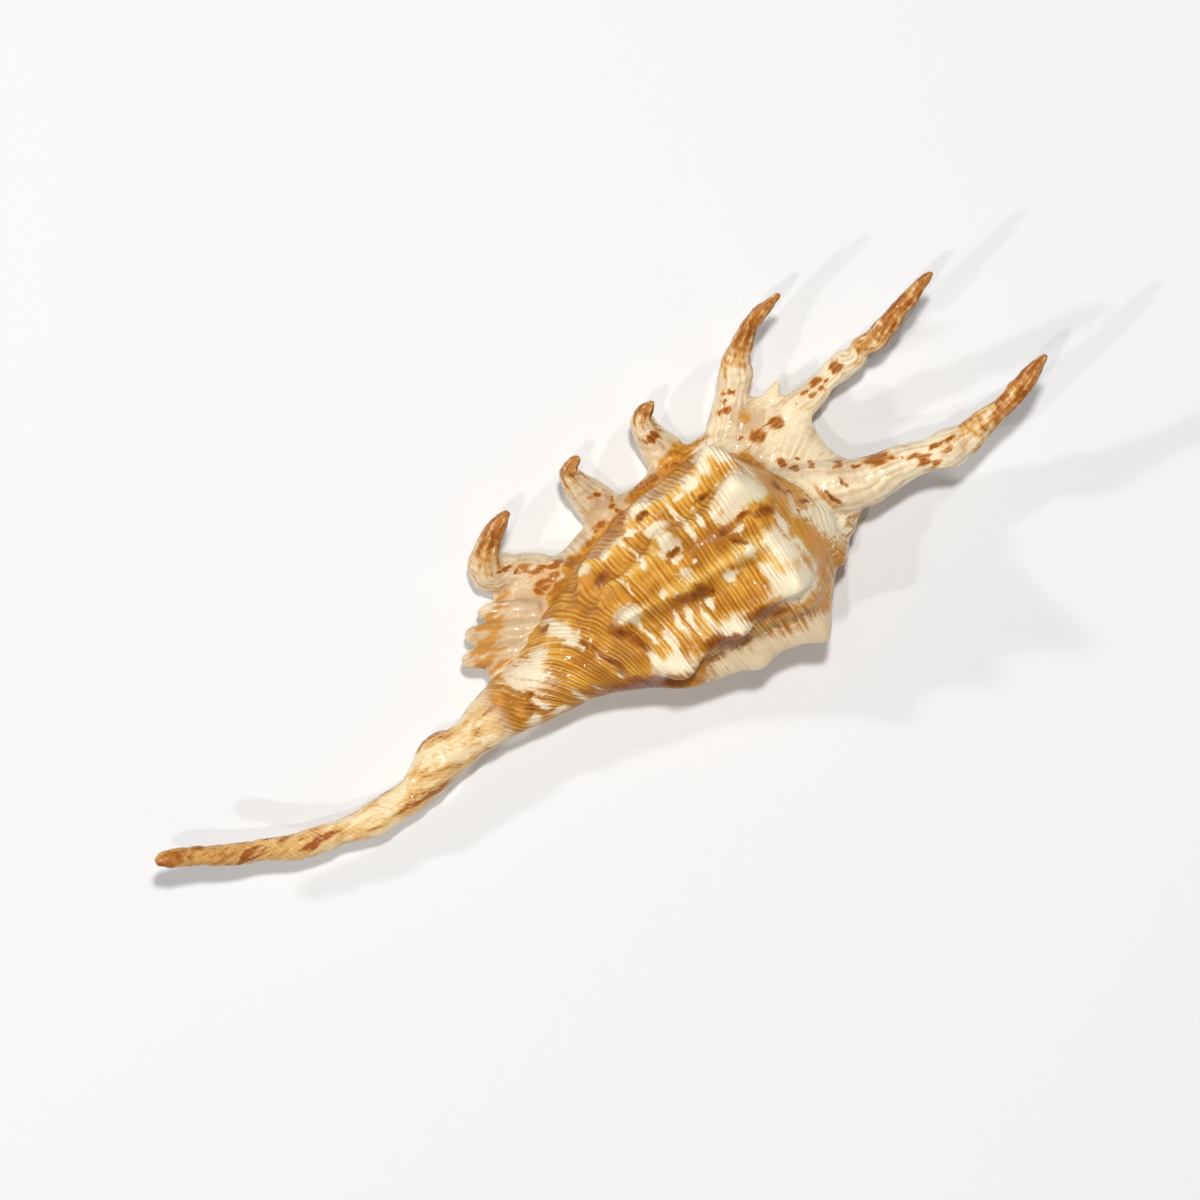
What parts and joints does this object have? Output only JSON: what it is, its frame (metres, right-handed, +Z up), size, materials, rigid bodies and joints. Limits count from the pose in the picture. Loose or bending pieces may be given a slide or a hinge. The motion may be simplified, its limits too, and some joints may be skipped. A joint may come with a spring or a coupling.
{
  "type": "spider conch shell",
  "caption": "Whole spider conch shell lying on its open side, with a knobbed body, a long front canal, a flared lip and long curved fingers.",
  "frame": {"origin": "middle of the bounding box, on the surface that the shell lies on", "axes": "+X along the coiling axis towards the spire, +Y towards the outer lip and its fingers, +Z up through the back of the shell"},
  "size_m": [0.1834, 0.0584, 0.0364],
  "materials": {
    "shell": "glossy ochre and white, with red-brown flecks"
  },
  "bodies": {
    "root": {"shell": "shell"}
  },
  "joints": []
}
